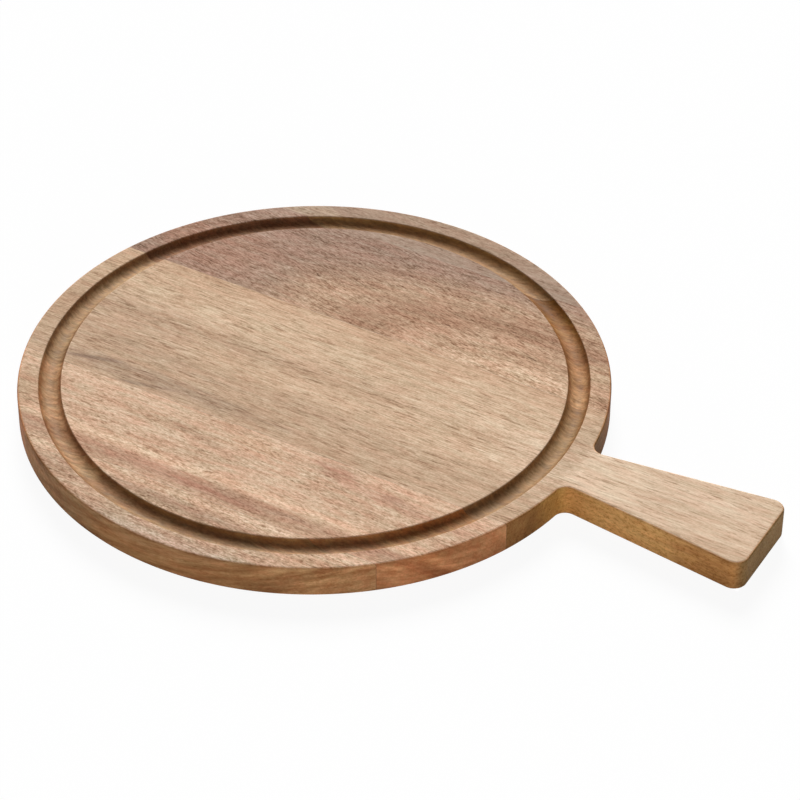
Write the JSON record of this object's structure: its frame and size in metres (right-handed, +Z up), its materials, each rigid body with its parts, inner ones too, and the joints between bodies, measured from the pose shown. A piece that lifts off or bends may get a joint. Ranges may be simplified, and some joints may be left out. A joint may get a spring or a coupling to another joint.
{
  "type": "pizza serving board",
  "caption": "Round wooden pizza serving board with a flared handle and a juice groove inside its rim, edge-glued from straight staves and eased along every edge.",
  "frame": {"origin": "centre of the round part, on the underside that the board rests on", "axes": "+X along the handle, away from the round part; +Z up, out of the grooved face; the staves run along X"},
  "size_m": [0.4, 0.3, 0.017],
  "materials": {
    "back_outer_wood": "sanded and oiled, satin",
    "back_inner_wood": "sanded and oiled, satin",
    "handle_wood": "sanded and oiled, satin",
    "front_inner_wood": "sanded and oiled, satin",
    "front_outer_wood": "sanded and oiled, satin",
    "cured_glue": "sanded flush"
  },
  "bodies": {
    "root": {"back_outer_stave": "back_outer_wood", "back_inner_stave": "back_inner_wood", "handle_stave": "handle_wood", "front_inner_stave": "front_inner_wood", "front_outer_stave": "front_outer_wood", "back_outer_glue_line": "cured_glue", "back_inner_glue_line": "cured_glue", "front_inner_glue_line": "cured_glue", "front_outer_glue_line": "cured_glue"}
  },
  "joints": []
}
